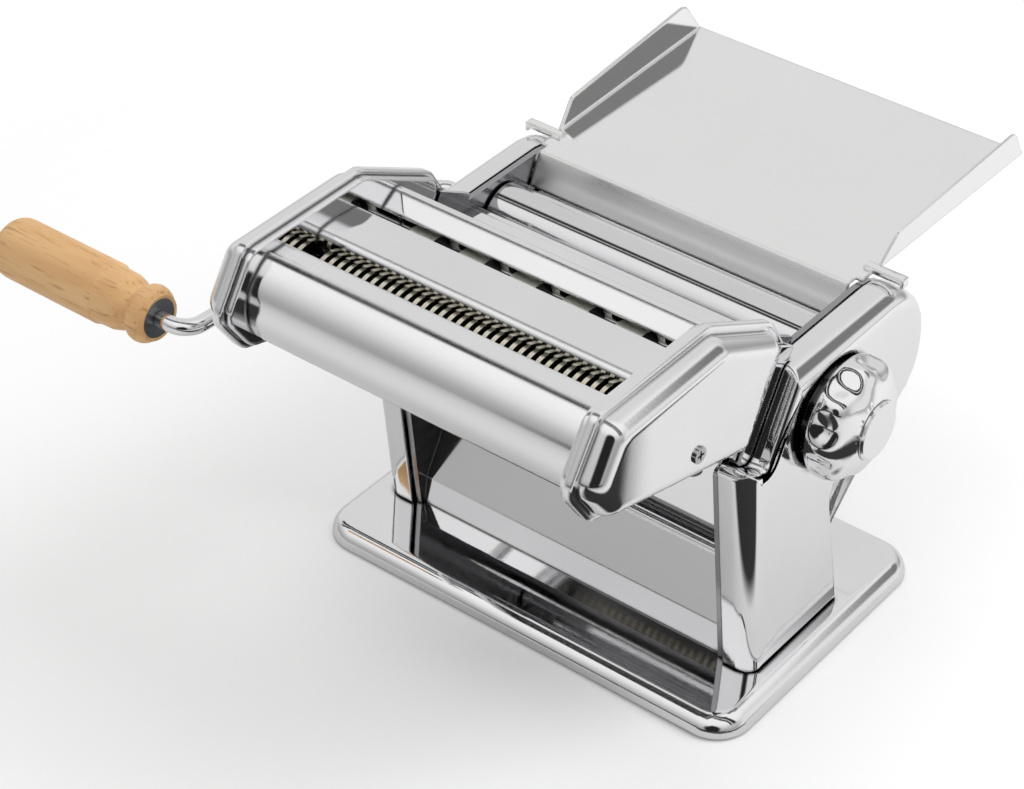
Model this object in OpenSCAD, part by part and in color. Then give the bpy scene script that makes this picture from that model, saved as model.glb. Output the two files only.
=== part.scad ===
// Hand cranked pasta machine: two smooth rollers with a thickness knob, a lift-off
// feed tray, a bent crank with a wooden grip, and a slide-on cutter with two pairs of rolls.
// X runs along the rollers, Y from the front to the back, Z up from the table. The handed-in
// origin is on the table, under the clamp hole; inside the modules Y starts at the base's middle.

/* [Base] */
// How far the base reaches past each side panel
base_border = 10.5; // [8:0.5:20]
// Depth of the base
base_d = 137; // [125:1:160]
// Height of the base's flat top over the table
base_h = 9; // [9:0.5:12]
// Corner radius of the base in plan
base_corner = 16; // [16:1:24]
// Radius of the base's rounded edge
base_edge = 7.5; // [5:0.5:7.5]
// Thickness of the base's sheet
base_sheet = 1.5; // [1:0.1:2]
// Diameter of a rubber pad
pad_d = 14; // [10:1:18]
// How far the pads stand below the base's rim
pad_proud = 0.8; // [0.5:0.1:1.5]
// Diameter of the hole for the table clamp's rod
clamp_d = 9; // [6:0.5:12]
// Distance of the clamp hole from the base's rear edge
clamp_inset = 16; // [14:1:24]

/* [Side panels] */
// Width over the two side panels
panel_w = 184; // [180:1:188]
// Thickness of the pressed side sheet
panel_sheet = 1.2; // [0.8:0.1:1.6]
// Width of the panel's turned-in wall
panel_depth = 14; // [13:0.5:14]
// Front edge of the column at the base
column_front = -36.5; // [-40:0.5:-33]
// Rear edge of the column at the base
column_rear = 23.7; // [20:0.5:28]
// How far the column's front edge leans forward in 100 mm of height
front_lean = 10.7; // [10:0.1:11.5]
// How far the column's rear edge leans forward at its top
rear_lean = 13.8; // [8:0.2:18]
// Height where the column's rear edge turns into the round back
back_z = 77.7; // [70:0.5:82]
// Height of the rails over the leaning frame's origin
rail_rise = 13.1; // [12.8:0.1:15]
// Rearmost reach of the round back
back_y = 72; // [68:0.5:76]
// How far the top shoulder falls from the rail to the side face
shoulder_fall = 9; // [6:0.5:10]
// Rounding of the column's upright edges
column_round = 8; // [4:0.5:9]
// Rounding of the panel's foot and of its edges beside the cutter's guide
foot_round = 3; // [1:0.5:4]

/* [Bearing plates] */
// Gap between a bearing plate and the side panel's edge
panel_room = 1; // [0.5:0.1:2]
// Thickness of a bearing plate
plate_t = 2.5; // [2:0.1:3]

/* [Rollers] */
// Diameter of the sheet rollers
roller_d = 26; // [25:0.2:26.2]
// Distance of the leaning frame's origin behind the base's middle
lean_y = 14.4; // [13:0.2:16]
// Height of the leaning frame's origin
lean_z = 128.9; // [127:0.1:129]
// Lean of the line through the two roller axes
tilt = 30; // [28:0.5:32]
// Front roller's axis along the roller line, from the leaning frame's origin
front_u = 5.7; // [5:0.1:6.5]
// Front roller's axis across the roller line, from the leaning frame's origin
front_v = -0.5; // [-1:0.1:-0.4]
// Widest gap between the rollers
gap_max = 2.2; // [1.8:0.1:2.2]
// Narrowest gap between the rollers
gap_min = 0.2; // [0.1:0.05:0.5]
// Diameter of the front roller's journals
front_journal_d = 12; // [11:0.5:12]
// Diameter of the rear roller's journals
rear_journal_d = 10; // [8:0.5:10]
// Teeth on a roller gear
roller_teeth = 12; // [12:4:12]

/* [Thickness knob] */
// Outer diameter of the knob over its lobes
knob_d = 50; // [46:1:52]
// Length of the knob
knob_l = 18; // [17:1:22]
// Number of lobes round the knob
knob_lobes = 8; // [6:1:9]
// Turn of the knob from the first to the last setting in degrees
knob_turn = 200; // [180:10:210]
// Number of thickness settings
knob_steps = 6; // [5:1:7]
// Diameter of the cam shaft
cam_shaft_d = 6; // [5:0.2:6]
// Distance of the knob's axis below the front roller across the roller line
knob_drop = 17.8; // [17.6:0.1:19]
// Distance of the knob's axis along the roller line
knob_along = 2.9; // [2:0.1:3.5]

/* [Crank] */
// Diameter of the crank's rod
rod_d = 6.6; // [6:0.1:7]
// Length of the crank's arm
arm_l = 147.5; // [130:0.5:155]
// Rise of the arm towards the grip in degrees
arm_rise = 4.1; // [0:0.1:10]
// Distance of the arm's plane from the side panel's face
arm_gap = 15; // [15:0.5:20]
// Bend radius of the rod
rod_bend = 8; // [6:0.5:9]
// Length of the wooden grip
grip_l = 80; // [70:1:90]
// Largest diameter of the wooden grip
grip_d = 25; // [22:0.5:28]

/* [Cutter] */
// Diameter of the cutter rolls over their discs
cutter_d = 18; // [17.5:0.1:18]
// Diameter of the cutter rolls between their discs
cutter_core_d = 10.4; // [9.5:0.2:11]
// Distance between the two rolls of a pair
cutter_pitch = 17; // [16.8:0.1:17.2]
// Width of the narrow strips
narrow_strip = 2; // [2:0.25:2.5]
// Width of the wide strips
wide_strip = 12; // [10:1:12]
// Plain length at each end of a cutter roll
roll_end = 2.5; // [2:0.5:5]
// Middle of the narrow pair
narrow_y = -99; // [-100:0.2:-98]
// Distance between the middles of the two pairs
pair_gap = 37; // [36.5:0.1:38]
// Height of the narrow pair
cutter_z = 158; // [156:0.1:160]
// How far the wide pair lies below the narrow one
wide_drop = 4.2; // [3:0.1:4.4]
// Teeth on a cutter gear
cutter_teeth = 16; // [16:4:16]
// Thickness of the sheet covers
cover_t = 1.2; // [0.8:0.1:1.4]
// Radius of the rounded front cover
cover_r = 20.5; // [19:0.5:21]
// Thickness of an end cap's flange
flange_t = 3.5; // [3:0.1:3.6]
// How far an end cap's flat face lies inside the side panel's face
cap_inset = 2; // [1:0.5:4]
// Thickness of an end cap's wall
cap_wall = 1.4; // [1:0.1:1.8]

/* [Feed tray] */
// Gap between the tray's side and the side panel's edge
tray_gap = 1.4; // [1:0.1:3]
// How far each side of the tray widens towards its rear edge
tray_flare = 2.4; // [0:0.2:4]
// Rear edge of the tray
tray_far = 160; // [145:1:165]
// Where the tray folds down towards the rollers
tray_fold = 43; // [42:0.5:44]
// Rise of the tray from the fold to its rear edge
tray_rise = 1; // [0:0.5:6]
// Height of the tray's wings
wing_h = 16; // [12:0.5:18]
// Thickness of the tray's sheet
tray_t = 1; // [0.8:0.1:1.2]

/* [Fits] */
// Radial clearance of a shaft that turns in its bore
run_fit = 0.05; // [0.03:0.01:0.08]
// Gap between parts that slide past each other
slide_fit = 0.4; // [0.3:0.05:0.5]
// Gap under a part that rests on a stop
seat_gap = 0.1; // [0.05:0.05:0.2]

/* [Hidden] */
$fn = 48;

chrome = "#d9dadc";
steel = "#b4b6b8";
dark_steel = "#77797c";
brass = "#c9a84f";
wood = "#dba765";
rubber = "#2b2b2b";

base_w = panel_w + 2 * base_border;
panel_out = panel_w / 2;
panel_in = panel_out - panel_depth;
plate_out = panel_in - panel_room;
plate_in = plate_out - plate_t;
plate_gap = 2 * plate_in;
rail_z = lean_z + rail_rise;
arm_x = panel_out + arm_gap;
cutter_l = plate_gap - 2 * roll_end;
wide_y = narrow_y + pair_gap;
narrow_z = cutter_z;
wide_z = cutter_z - wide_drop;
cap_x = panel_out - cap_inset;
tray_half = panel_in - tray_gap;
roller_r = roller_d / 2;
rear_u = front_u + roller_d + gap_max;
gap_travel = gap_max - gap_min;
guide_u = -32.6;
guide_v0 = -41;
guide_v1 = 6;
tongue_w = 8;
carrier_in = plate_out + slide_fit / 2;
carrier_t = 3;
carrier_out = carrier_in + carrier_t;
stud_head = 1.6;
gear_in = carrier_out + 0.6;
gear_t = 2.8;
screw_r = 2;
flange_in = plate_out + slide_fit;
flange_out = flange_in + flange_t;
guide_leg = 1.2;

// Plane geometry: unit vectors, line crossings, insets and rounded corners

function unit(a) = a / norm(a);
function left_of(d) = [-d[1], d[0]];
function cross2(a, b) = a[0] * b[1] - a[1] * b[0];
function wrap(p, i) = p[(i + len(p)) % len(p)];
function edge_dir(p, i) = unit(wrap(p, i + 1) - wrap(p, i));
function meet(a, da, b, db) = a + da * cross2(b - a, db) / cross2(da, db);

// An outline with each edge moved inwards by its own amount
function inset(p, t) = [for (i = [0 : len(p) - 1])
  let (d0 = edge_dir(p, i - 1), d1 = edge_dir(p, i))
  meet(p[i] + left_of(d0) * wrap(t, i - 1), d0, p[i] + left_of(d1) * t[i], d1)];

// An outline with each corner turned into an arc of its own radius
function rounded(p, r, n = 5) = [for (i = [0 : len(p) - 1])
  let (d0 = edge_dir(p, i - 1), d1 = edge_dir(p, i),
       a = atan2(cross2(d0, d1), d0 * d1), side = sign(a),
       start = p[i] - d0 * r[i] * tan(abs(a) / 2),
       c = start + left_of(d0) * r[i] * side)
  for (k = [0 : n])
    let (b = a * k / n, s = start - c)
    c + [s[0] * cos(b) - s[1] * sin(b), s[0] * sin(b) + s[1] * cos(b)]];

// A body skinned over outlines in planes across X; every ring has as many points
module loft(rings, xs) {
  n = len(rings[0]);
  m = len(rings);
  polyhedron(
    points = [for (k = [0 : m - 1]) for (q = rings[k]) [xs[k], q[0], q[1]]],
    faces = concat(
      [[for (i = [0 : n - 1]) i]],
      [for (k = [0 : m - 2]) for (i = [0 : n - 1]) let (j = (i + 1) % n)
        [k * n + i, (k + 1) * n + i, (k + 1) * n + j]],
      [for (k = [0 : m - 2]) for (i = [0 : n - 1]) let (j = (i + 1) % n)
        [k * n + i, (k + 1) * n + j, k * n + j]],
      [[for (i = [n - 1 : -1 : 0]) (m - 1) * n + i]]));
}

// A pressed shell skinned over outer and inner outlines, open at its first pair of rings
module cup(outer, outer_xs, inner, inner_xs) {
  n = len(outer[0]);
  m = len(outer);
  s = m * n;
  polyhedron(
    points = concat(
      [for (k = [0 : m - 1]) for (q = outer[k]) [outer_xs[k], q[0], q[1]]],
      [for (k = [0 : m - 1]) for (q = inner[k]) [inner_xs[k], q[0], q[1]]]),
    faces = concat(
      [for (k = [0 : m - 2]) for (i = [0 : n - 1]) let (a = k * n + i, b = k * n + (i + 1) % n)
        each [[a, a + n, b + n], [a, b + n, b]]],
      [[for (i = [n - 1 : -1 : 0]) (m - 1) * n + i]],
      [for (k = [0 : m - 2]) for (i = [0 : n - 1]) let (a = s + k * n + i, b = s + k * n + (i + 1) % n)
        each [[a, b + n, a + n], [a, b, b + n]]],
      [[for (i = [0 : n - 1]) s + (m - 1) * n + i]],
      [for (i = [0 : n - 1]) let (j = (i + 1) % n) each [[i, j, s + j], [i, s + j, s + i]]]));
}

// Frames: outlines drawn across X, and the leaning frame of the rollers

module across(x0, x1) translate([x0, 0, 0]) rotate([90, 0, 90]) linear_extrude(x1 - x0) children();
module lean() translate([0, lean_y, lean_z]) rotate([-tilt, 0, 0]) children();
module at_front() lean() at(front_u, front_v) children();
module at_rear() lean() at(rear_u, front_v) children();
module right_left(side) mirror([side < 0 ? 1 : 0, 0, 0]) children();
module rod_x(r, x0, x1) translate([x0, 0, 0]) rotate([0, 90, 0]) cylinder(r = r, h = x1 - x0);
module at(y, z) translate([0, y, z]) children();

// A point of the leaning frame in Y and Z
function leaned(u, v) = [lean_y + u * cos(tilt) + v * sin(tilt), lean_z - u * sin(tilt) + v * cos(tilt)];

// A slot outline along the first axis, with round ends
module slot(r, travel) {
  translate([0, -r]) square([travel, 2 * r]);
  circle(r);
  translate([travel, 0]) circle(r);
}

// A gear outline with involute flanks, a tooth centred on the first axis
function roll_angle(rb, r) = sqrt(max(0, r * r / (rb * rb) - 1)) * 180 / PI;
function roll_polar(rb, r) = let (t = roll_angle(rb, r)) t - atan(t * PI / 180);

function gear_outline(teeth, pitch_r, tip_r, root_r, slack) =
  let (rb = pitch_r * cos(25),
       half = 90 / teeth - slack / pitch_r * 45 / PI + roll_polar(rb, pitch_r),
       radii = [for (k = [0 : 4]) rb + (tip_r - rb) * k / 4],
       flank = concat([[root_r, half]], [for (r = radii) [r, half - roll_polar(rb, r)]]))
  [for (i = [0 : teeth - 1]) let (mid = i * 360 / teeth)
    for (q = concat([for (f = flank) [f[0], mid - f[1]]],
                    [for (k = [len(flank) - 1 : -1 : 0]) [flank[k][0], mid + flank[k][1]]]))
      q[0] * [cos(q[1]), sin(q[1])]];

// Base: a pressed tray turned upside down, with a rounded edge

module plan(w, d, r) {
  square([w - 2 * r, d], center = true);
  square([w, d - 2 * r], center = true);
  for (sx = [-1, 1]) for (sy = [-1, 1]) translate([sx * (w / 2 - r), sy * (d / 2 - r)]) circle(r);
}

module round_edge(w, d, r, e) {
  for (s = [-1, 1]) {
    translate([s * (w / 2 - e), d / 2 - r, 0]) rotate([90, 0, 0]) cylinder(r = e, h = d - 2 * r);
    translate([r - w / 2, s * (d / 2 - e), 0]) rotate([0, 90, 0]) cylinder(r = e, h = w - 2 * r);
  }
  for (q = [0 : 3])
    let (sx = q == 0 || q == 3 ? 1 : -1, sy = q < 2 ? 1 : -1)
      translate([sx * (w / 2 - r), sy * (d / 2 - r), 0])
        rotate([0, 0, 90 * q]) rotate_extrude(angle = 90) translate([r - e, 0]) circle(e);
}

base_screw_x = panel_out - panel_depth / 2;
base_screw_ys = [column_front + 14, column_rear - 14];
clamp_y = base_d / 2 - clamp_inset;
pad_x = base_w / 2 - base_corner;
pad_y = base_d / 2 - base_corner;
wall_top = base_h - base_edge;
collar_wall = 3;
collar_r = clamp_d / 2 + collar_wall;
base_head_r = 3.6;
base_head_h = 2.4;

module base_shell() difference() {
  union() {
    translate([0, 0, pad_proud]) linear_extrude(wall_top - pad_proud) plan(base_w, base_d, base_corner);
    translate([0, 0, wall_top]) round_edge(base_w, base_d, base_corner, base_edge);
    translate([0, 0, pad_proud]) linear_extrude(base_h - pad_proud)
      plan(base_w - 2 * base_edge, base_d - 2 * base_edge, base_corner - base_edge);
  }
  linear_extrude(wall_top)
    plan(base_w - 2 * base_sheet, base_d - 2 * base_sheet, base_corner - base_sheet);
  translate([0, 0, wall_top]) round_edge(base_w - 2 * base_sheet, base_d - 2 * base_sheet,
    base_corner - base_sheet, base_edge - base_sheet);
  linear_extrude(base_h - base_sheet)
    plan(base_w - 2 * base_edge, base_d - 2 * base_edge, base_corner - base_edge);
  translate([0, 0, pad_proud - base_edge]) cube([base_w + 1, base_d + 1, 2 * base_edge], center = true);
}

module base_plate() color(chrome) difference() {
  union() {
    base_shell();
    translate([0, clamp_y, 0]) cylinder(r = collar_r, h = base_h - base_sheet / 2);
  }
  translate([0, clamp_y, -1]) cylinder(d = clamp_d, h = base_h + 2);
  for (sx = [-1, 1]) for (y = base_screw_ys)
    translate([sx * base_screw_x, y, 0]) cylinder(r = screw_r, h = base_h + 1);
}

module base_pads() color(rubber) for (sx = [-1, 1]) for (sy = [-1, 1])
  translate([sx * pad_x, sy * pad_y, 0]) cylinder(d = pad_d, h = base_h - base_sheet);

module base_screws() color(steel) for (sx = [-1, 1]) for (y = base_screw_ys)
  translate([sx * base_screw_x, y, base_h - base_sheet - base_head_h]) {
    cylinder(r = base_head_r, h = base_head_h);
    cylinder(r = screw_r, h = base_head_h + base_sheet + panel_sheet + 3);
  }

// Side panels: pressed shells, open towards the bearing plates

notch_u = guide_u + 1.8;
notch_v = guide_v0 - seat_gap - guide_leg - slide_fit;
column_slant = [-front_lean, 100];
guide_foot = leaned(notch_u, notch_v);
guide_head = meet(guide_foot, [sin(tilt), cos(tilt)], [0, rail_z], [1, 0]);
column_head = meet(guide_foot, [-cos(tilt), sin(tilt)], [column_front, base_h], column_slant);
panel_outline = [
  [column_front, base_h], [column_rear, base_h], [column_rear - rear_lean, back_z],
  [back_y, back_z + 8.8], [back_y, rail_z], guide_head, guide_foot, column_head];
panel_round = [1, 1, 14, 26, 27, 4, 5, 3];
panel_turn = [1, 1, -1, 1, 1, 1, -1, 1];
shoulder_w = panel_depth - 4;

// How far a rounded edge has drawn in at a depth behind the face
function drawn(fall, reach, depth) = depth >= reach ? 0 :
  fall * (1 - sqrt(1 - pow((reach - depth) / reach, 2)));

// The panel's outline at a depth behind its face
function panel_ring(depth, extra) =
  let (top = drawn(shoulder_fall, shoulder_w, depth) + extra,
       back = drawn(shoulder_fall * 0.5, shoulder_w * 0.7, depth) + extra,
       side = drawn(column_round, column_round, depth) + extra,
       foot = drawn(foot_round, foot_round, depth) + extra,
       t = [foot, foot, back, back, top, foot, foot, side],
       r = [for (i = [0 : 7]) max(0.4, panel_round[i] - panel_turn[i] * max(t[i], wrap(t, i - 1)))])
  rounded(inset(panel_outline, t), r);

panel_depths = concat([panel_depth, shoulder_w, column_round],
  [for (k = [0.72, 0.52, 0.36, 0.24, 0.14, 0.06, 0]) k * column_round]);
channel_out = flange_out + slide_fit + guide_leg;
channel_front = guide_u - tongue_w + 2;
channel_rear = guide_u + 4;

module side_panel() difference() {
  cup([for (d = panel_depths) panel_ring(d, 0)], [for (d = panel_depths) panel_out - d],
      [for (d = panel_depths) panel_ring(d, panel_sheet)],
      [for (d = panel_depths) d == panel_depth ? panel_in : panel_out - panel_sheet - d]);
  for (y = base_screw_ys) translate([base_screw_x, y, 0]) cylinder(r = screw_r, h = base_h + 6);
  lean() translate([plate_out, notch_u - 9, notch_v + seat_gap])
    cube([channel_out + slide_fit - plate_out, channel_rear + slide_fit - notch_u + 9, 80]);
}

knob_at = leaned(knob_along, -knob_drop);
front_at = leaned(front_u, front_v);
crank_pin_r = 1.1;
crank_pin_l = front_journal_d - 0.6;
crank_hole_r = norm([crank_pin_l / 2, crank_pin_r]) + slide_fit;
module left_side_panel() color(chrome) difference() {
  right_left(-1) side_panel();
  at(front_at[0], front_at[1]) rod_x(crank_hole_r, -panel_out - 4, -panel_in);
}
module right_side_panel() color(chrome) difference() {
  side_panel();
  at(knob_at[0], knob_at[1]) rod_x(cam_shaft_d / 2 + 1.5, panel_in, panel_out + 2);
}

// Bearing plates: flat steel plates that carry the rollers, with a horn for the cutter

rod_places = [[column_front + 17, 19], [column_rear - 12, 21], [2, 86]];
rod_r = 4;
rod_head_r = 3.8;
rod_head_h = 2.2;
bush_wall = 2;
bush_lip = 0.7;
horn_front = guide_u - 9;
horn_rear = guide_u + 12;
horn_foot = guide_v0 - 3;
scraper_at = [roller_r * 0.8, -roller_r - 7];
stud_r = 2.5;
stud_places = [[rear_u + 2, 21], [rear_u - 13, -18]];
bar_w = 6;
bar_t = 3;

module bearing_plate() difference() {
  across(plate_in, plate_out) union() {
    polygon(rounded(inset(panel_outline, [0, 2, 2, 2, 0, 0, 2, 2]), [1, 1, 14, 24, 27, 2, 6, 3]));
    polygon([for (q = [[horn_front, horn_foot], [horn_rear, horn_foot],
                       [horn_rear, guide_v1], [horn_front, guide_v1]]) leaned(q[0], q[1])]);
  }
  lean() {
    at(front_u, front_v) rod_x(front_journal_d / 2 + bush_wall, plate_in - 1, plate_out + 1);
    at(knob_along, -knob_drop) rod_x(cam_shaft_d / 2 + run_fit, plate_in - 1, plate_out + 1);
    at(rear_u - gap_travel, front_v) across(plate_in - 1, plate_out + 1)
      slot(rear_journal_d / 2 + slide_fit, gap_travel);
    at(rear_u + scraper_at[0] - gap_travel, front_v + scraper_at[1]) across(plate_in - 1, plate_out + 1)
      translate([-bar_t / 2 - slide_fit, -bar_w / 2 - slide_fit])
        square([bar_t + 2 * slide_fit + gap_travel, bar_w + 2 * slide_fit]);
    for (q = stud_places) at(q[0], q[1]) rod_x(stud_r, plate_in - 1, plate_out + 1);
  }
  for (q = rod_places) at(q[0], q[1]) rod_x(screw_r, plate_in - 1, plate_out + 1);
}
module left_bearing_plate() color(steel) right_left(-1) bearing_plate();
module right_bearing_plate() color(steel) bearing_plate();

module tie_rods() color(steel) for (q = rod_places) at(q[0], q[1]) difference() {
  rod_x(rod_r, -plate_in, plate_in);
  for (s = [-1, 1]) right_left(s) rod_x(screw_r, plate_in - 12, plate_in + 1);
}

module tie_rod_screws() color(steel) for (s = [-1, 1]) right_left(s)
  for (q = rod_places) at(q[0], q[1]) {
    rod_x(screw_r, plate_in - 10, plate_out);
    rod_x(rod_head_r, plate_out, plate_out + rod_head_h);
  }

module carrier_studs() color(steel) for (s = [-1, 1]) right_left(s) lean()
  for (q = stud_places) at(q[0], q[1]) {
    rod_x(stud_r, plate_in, carrier_out + slide_fit / 2);
    rod_x(stud_r + 2, carrier_out + slide_fit / 2, carrier_out + slide_fit / 2 + stud_head);
  }

module roller_bushes() color(brass) for (s = [-1, 1]) right_left(s) at_front() difference() {
  union() {
    rod_x(front_journal_d / 2 + bush_wall, plate_in, plate_out);
    rod_x(front_journal_d / 2 + bush_wall + bush_lip, plate_out, plate_out + 1);
  }
  rod_x(front_journal_d / 2 + run_fit, plate_in - 1, plate_out + 2);
}

// Guides: channels at the front of the plates that take the cutter's tongues

module guide_channel() lean() difference() {
  across(plate_out, channel_out)
    translate([channel_front, guide_v0 - seat_gap - guide_leg])
      square([channel_rear - channel_front, guide_v1 - guide_v0]);
  across(plate_out - 1, flange_out + slide_fit)
    translate([guide_u - tongue_w - 1, guide_v0 - seat_gap])
      square([tongue_w + 1 + slide_fit, guide_v1 - guide_v0 + 5]);
}
module left_guide() color(chrome) right_left(-1) guide_channel();
module right_guide() color(chrome) guide_channel();

// Sheet pieces between the plates

// A bent strip of sheet that follows points, with its thickness to the left
module strip(p, t) {
  n = len(p);
  outer = [for (i = [0 : n - 1])
    let (a = max(1, i), b = min(n - 1, i + 1), d0 = unit(p[a] - p[a - 1]), d1 = unit(p[b] - p[b - 1]))
    p[i] + unit(left_of(d0) + left_of(d1)) * t / sqrt((1 + d0 * d1) / 2)];
  polygon(concat(p, [for (i = [n - 1 : -1 : 0]) outer[i]]));
}
function arc(c, r, a0, a1, n) = [for (k = [0 : n]) let (a = a0 + (a1 - a0) * k / n) c + r * [cos(a), sin(a)]];

chute_foot = [column_front + 4, base_h];
chute_fold = [column_front + 5.5, base_h + 12.5];
chute_top = [column_front + 18.5, base_h + 35];
chute_t = 1;
module chute_panel() color(chrome) {
  difference() {
    across(-plate_in, plate_in) strip([chute_foot, chute_fold, chute_top], -chute_t);
    translate([-plate_in - 1, chute_foot[0] - 5, 0]) cube([plate_gap + 2, 10, base_h]);
  }
  at(chute_top[0] + 1.2, chute_top[1] - 0.4) rod_x(2, -plate_in, plate_in);
}

rear_axis = leaned(rear_u, front_v);
guard_r = roller_r + 8;
module rear_cover() color(chrome) across(-plate_in, plate_in)
  strip(arc(rear_axis, guard_r, 78, -70, 24), chute_t);

bar_top = lean_z + 9;
bar_front = lean_y - 27;
bar_gap = 0.7;
bar_rear = front_at[0] - roller_r - bar_gap;
module front_bar() color(chrome) across(-plate_in, plate_in)
  strip([[bar_front - 2, bar_top - 8], [bar_front, bar_top - 1.5], [bar_front + 1.5, bar_top],
         [bar_rear - 5, bar_top - 0.6], [bar_rear - 4.2, bar_top - 1.6], [bar_rear - 1.4, bar_top - 1.8],
         [bar_rear, bar_top - 3], [bar_rear + 0.5, bar_top - 12]], -chute_t);

// A scraper blade that leans against the underside of a roller, on its flat bar
blade_t = 0.8;
touch_a = 60;
module scraper(s) {
  tip = (roller_r + 0.35) * [s * cos(touch_a), -sin(touch_a)];
  foot = [s * scraper_at[0], scraper_at[1]];
  across(-plate_in + 0.3, plate_in - 0.3) strip([tip, foot], s * blade_t);
}
module front_scraper() color(steel) at_front() {
  scraper(-1);
  at(-scraper_at[0], scraper_at[1]) translate([-plate_in, -bar_t / 2, -bar_w / 2])
    cube([plate_gap, bar_t, bar_w]);
}
module rear_scraper() color(steel) at_rear() {
  scraper(1);
  at(scraper_at[0], scraper_at[1]) translate([-carrier_in, -bar_t / 2, -bar_w / 2])
    cube([2 * carrier_in, bar_t, bar_w]);
}

// Rollers, their journals and their gears

socket_r = rod_d / 2 + 0.06;
socket_l = 20;
front_end = panel_out - panel_sheet - 1.2;
pin_slot = 2.6;
pin_slot_l = 5;
roller_end = plate_in - 0.5;
roller_edge = 0.6;

module roller_barrel(r) rotate([0, 90, 0]) rotate_extrude() polygon([[0, -roller_end],
  [r - roller_edge, -roller_end], [r, roller_edge - roller_end], [r, roller_end - roller_edge],
  [r - roller_edge, roller_end], [0, roller_end]]);

module front_roller() color(chrome) at_front() difference() {
  union() {
    roller_barrel(roller_r);
    rod_x(front_journal_d / 2, -front_end, plate_out + 3);
  }
  rod_x(socket_r, -front_end - 1, -front_end + socket_l);
  translate([-front_end - 1, -pin_slot / 2, -front_journal_d])
    cube([pin_slot_l + 1, pin_slot, 2 * front_journal_d]);
}
module rear_roller() color(chrome) at_rear() {
  roller_barrel(roller_r);
  rod_x(rear_journal_d / 2, -gear_in - gear_t - 1, carrier_out + 1);
}

tooth_clear = 0.3;
roller_pitch_r = (roller_d + gap_min) / 2;
roller_tip = roller_pitch_r + 1.3;
roller_root = roller_d + gap_min - roller_tip - tooth_clear;
roller_slack = 0.6;
module roller_gear(bore, turn) rotate([turn, 0, 0]) difference() {
  across(-gear_in - gear_t, -gear_in)
    polygon(gear_outline(roller_teeth, roller_pitch_r, roller_tip, roller_root, roller_slack));
  rod_x(bore, -gear_in - gear_t - 1, -gear_in + 1);
}
module front_gear() color(dark_steel) at_front() roller_gear(front_journal_d / 2, 0);
module rear_gear() color(dark_steel) at_rear() roller_gear(rear_journal_d / 2, 180 / roller_teeth);

// Carriers: sliding plates that hold the rear roller and follow the cams

cam_r = 8;
cam_rate = gap_travel / (knob_turn * PI / 180);
follow_u = knob_along + cam_r + 0.25;
carrier_foot = scraper_at[1] - bar_w / 2 - 1;

module carrier() lean() difference() {
  across(carrier_in, carrier_out)
    polygon([[follow_u, -knob_drop - 6], [follow_u, -knob_drop + 6], [rear_u - 12, -3],
             [rear_u - 6, 26], [rear_u + 9, 26], [rear_u + 12, 0],
             [rear_u + scraper_at[0] + 5, scraper_at[1] + 2], [rear_u + scraper_at[0] + 3, carrier_foot],
             [rear_u - 6, carrier_foot]]);
  at(rear_u, front_v) rod_x(rear_journal_d / 2 + run_fit, carrier_in - 1, carrier_out + 1);
  for (q = stud_places) at(q[0], q[1]) across(carrier_in - 1, carrier_out + 1)
    slot(stud_r + slide_fit / 2, gap_travel);
}
module left_carrier() color(steel) right_left(-1) carrier();
module right_carrier() color(steel) carrier();

// Knob: a lobed pressed dome on the cam shaft, pulled out to turn and held by a pin

index_t = 1.5;
index_r = knob_d / 2 - 4;
index_pin_r = 1.5;
pin_at = 12;
pin_start = 100;
knob_x = panel_out + index_t + 0.5;
knob_end = knob_x + knob_l;
shaft_in = 13;
shaft_end = knob_x + shaft_in;
key_w = 2;
key_h = 1.4;
key_l = 8;
key_fit = 0.2;
slot_fit = 0.3;
notch_fit = 0.7;

module at_knob() at(knob_at[0], knob_at[1]) rotate([90, 0, 90]) children();

module index_plate() color(steel) at_knob() translate([0, 0, panel_out]) difference() {
  cylinder(r = index_r, h = index_t);
  translate([0, 0, -1]) cylinder(r = cam_shaft_d / 2 + 0.5, h = index_t + 2);
  translate([0, 0, -1]) rotate([0, 0, pin_start]) rotate_extrude(angle = knob_turn)
    translate([pin_at - index_pin_r - slot_fit, 0]) square([2 * (index_pin_r + slot_fit), index_t + 2]);
  for (k = [0 : knob_steps - 1]) rotate([0, 0, pin_start + knob_turn * k / (knob_steps - 1)])
    translate([pin_at, 0, -1]) cylinder(r = index_pin_r + notch_fit, h = index_t + 2);
}

module cam_shaft() color(steel) at_knob() {
  translate([0, 0, -carrier_out]) cylinder(d = cam_shaft_d, h = shaft_end + carrier_out);
  translate([0, -key_w / 2, knob_x + 3]) cube([cam_shaft_d / 2 + key_h, key_w, key_l]);
}

// Cam outline: its reach grows evenly with the angle over the knob's turn, then falls back
cam_spread = knob_turn + 50;
function cam_reach(a) = a <= cam_spread ?
  cam_r + cam_rate * (a - knob_turn - 25) * PI / 180 :
  let (f = (a - cam_spread) / (360 - cam_spread), top = cam_r + cam_rate * 25 * PI / 180)
    top - cam_rate * cam_spread * PI / 180 * (1 - cos(180 * f)) / 2;
module cam() lean() at(knob_along, -knob_drop) difference() {
  across(carrier_in, carrier_out)
    polygon([for (a = [0 : 5 : 355]) cam_reach(a) * [cos(a - knob_turn - 25), sin(a - knob_turn - 25)]]);
  rod_x(cam_shaft_d / 2, carrier_in - 1, carrier_out + 1);
}
module left_cam() color(dark_steel) right_left(-1) cam();
module right_cam() color(dark_steel) cam();

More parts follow.
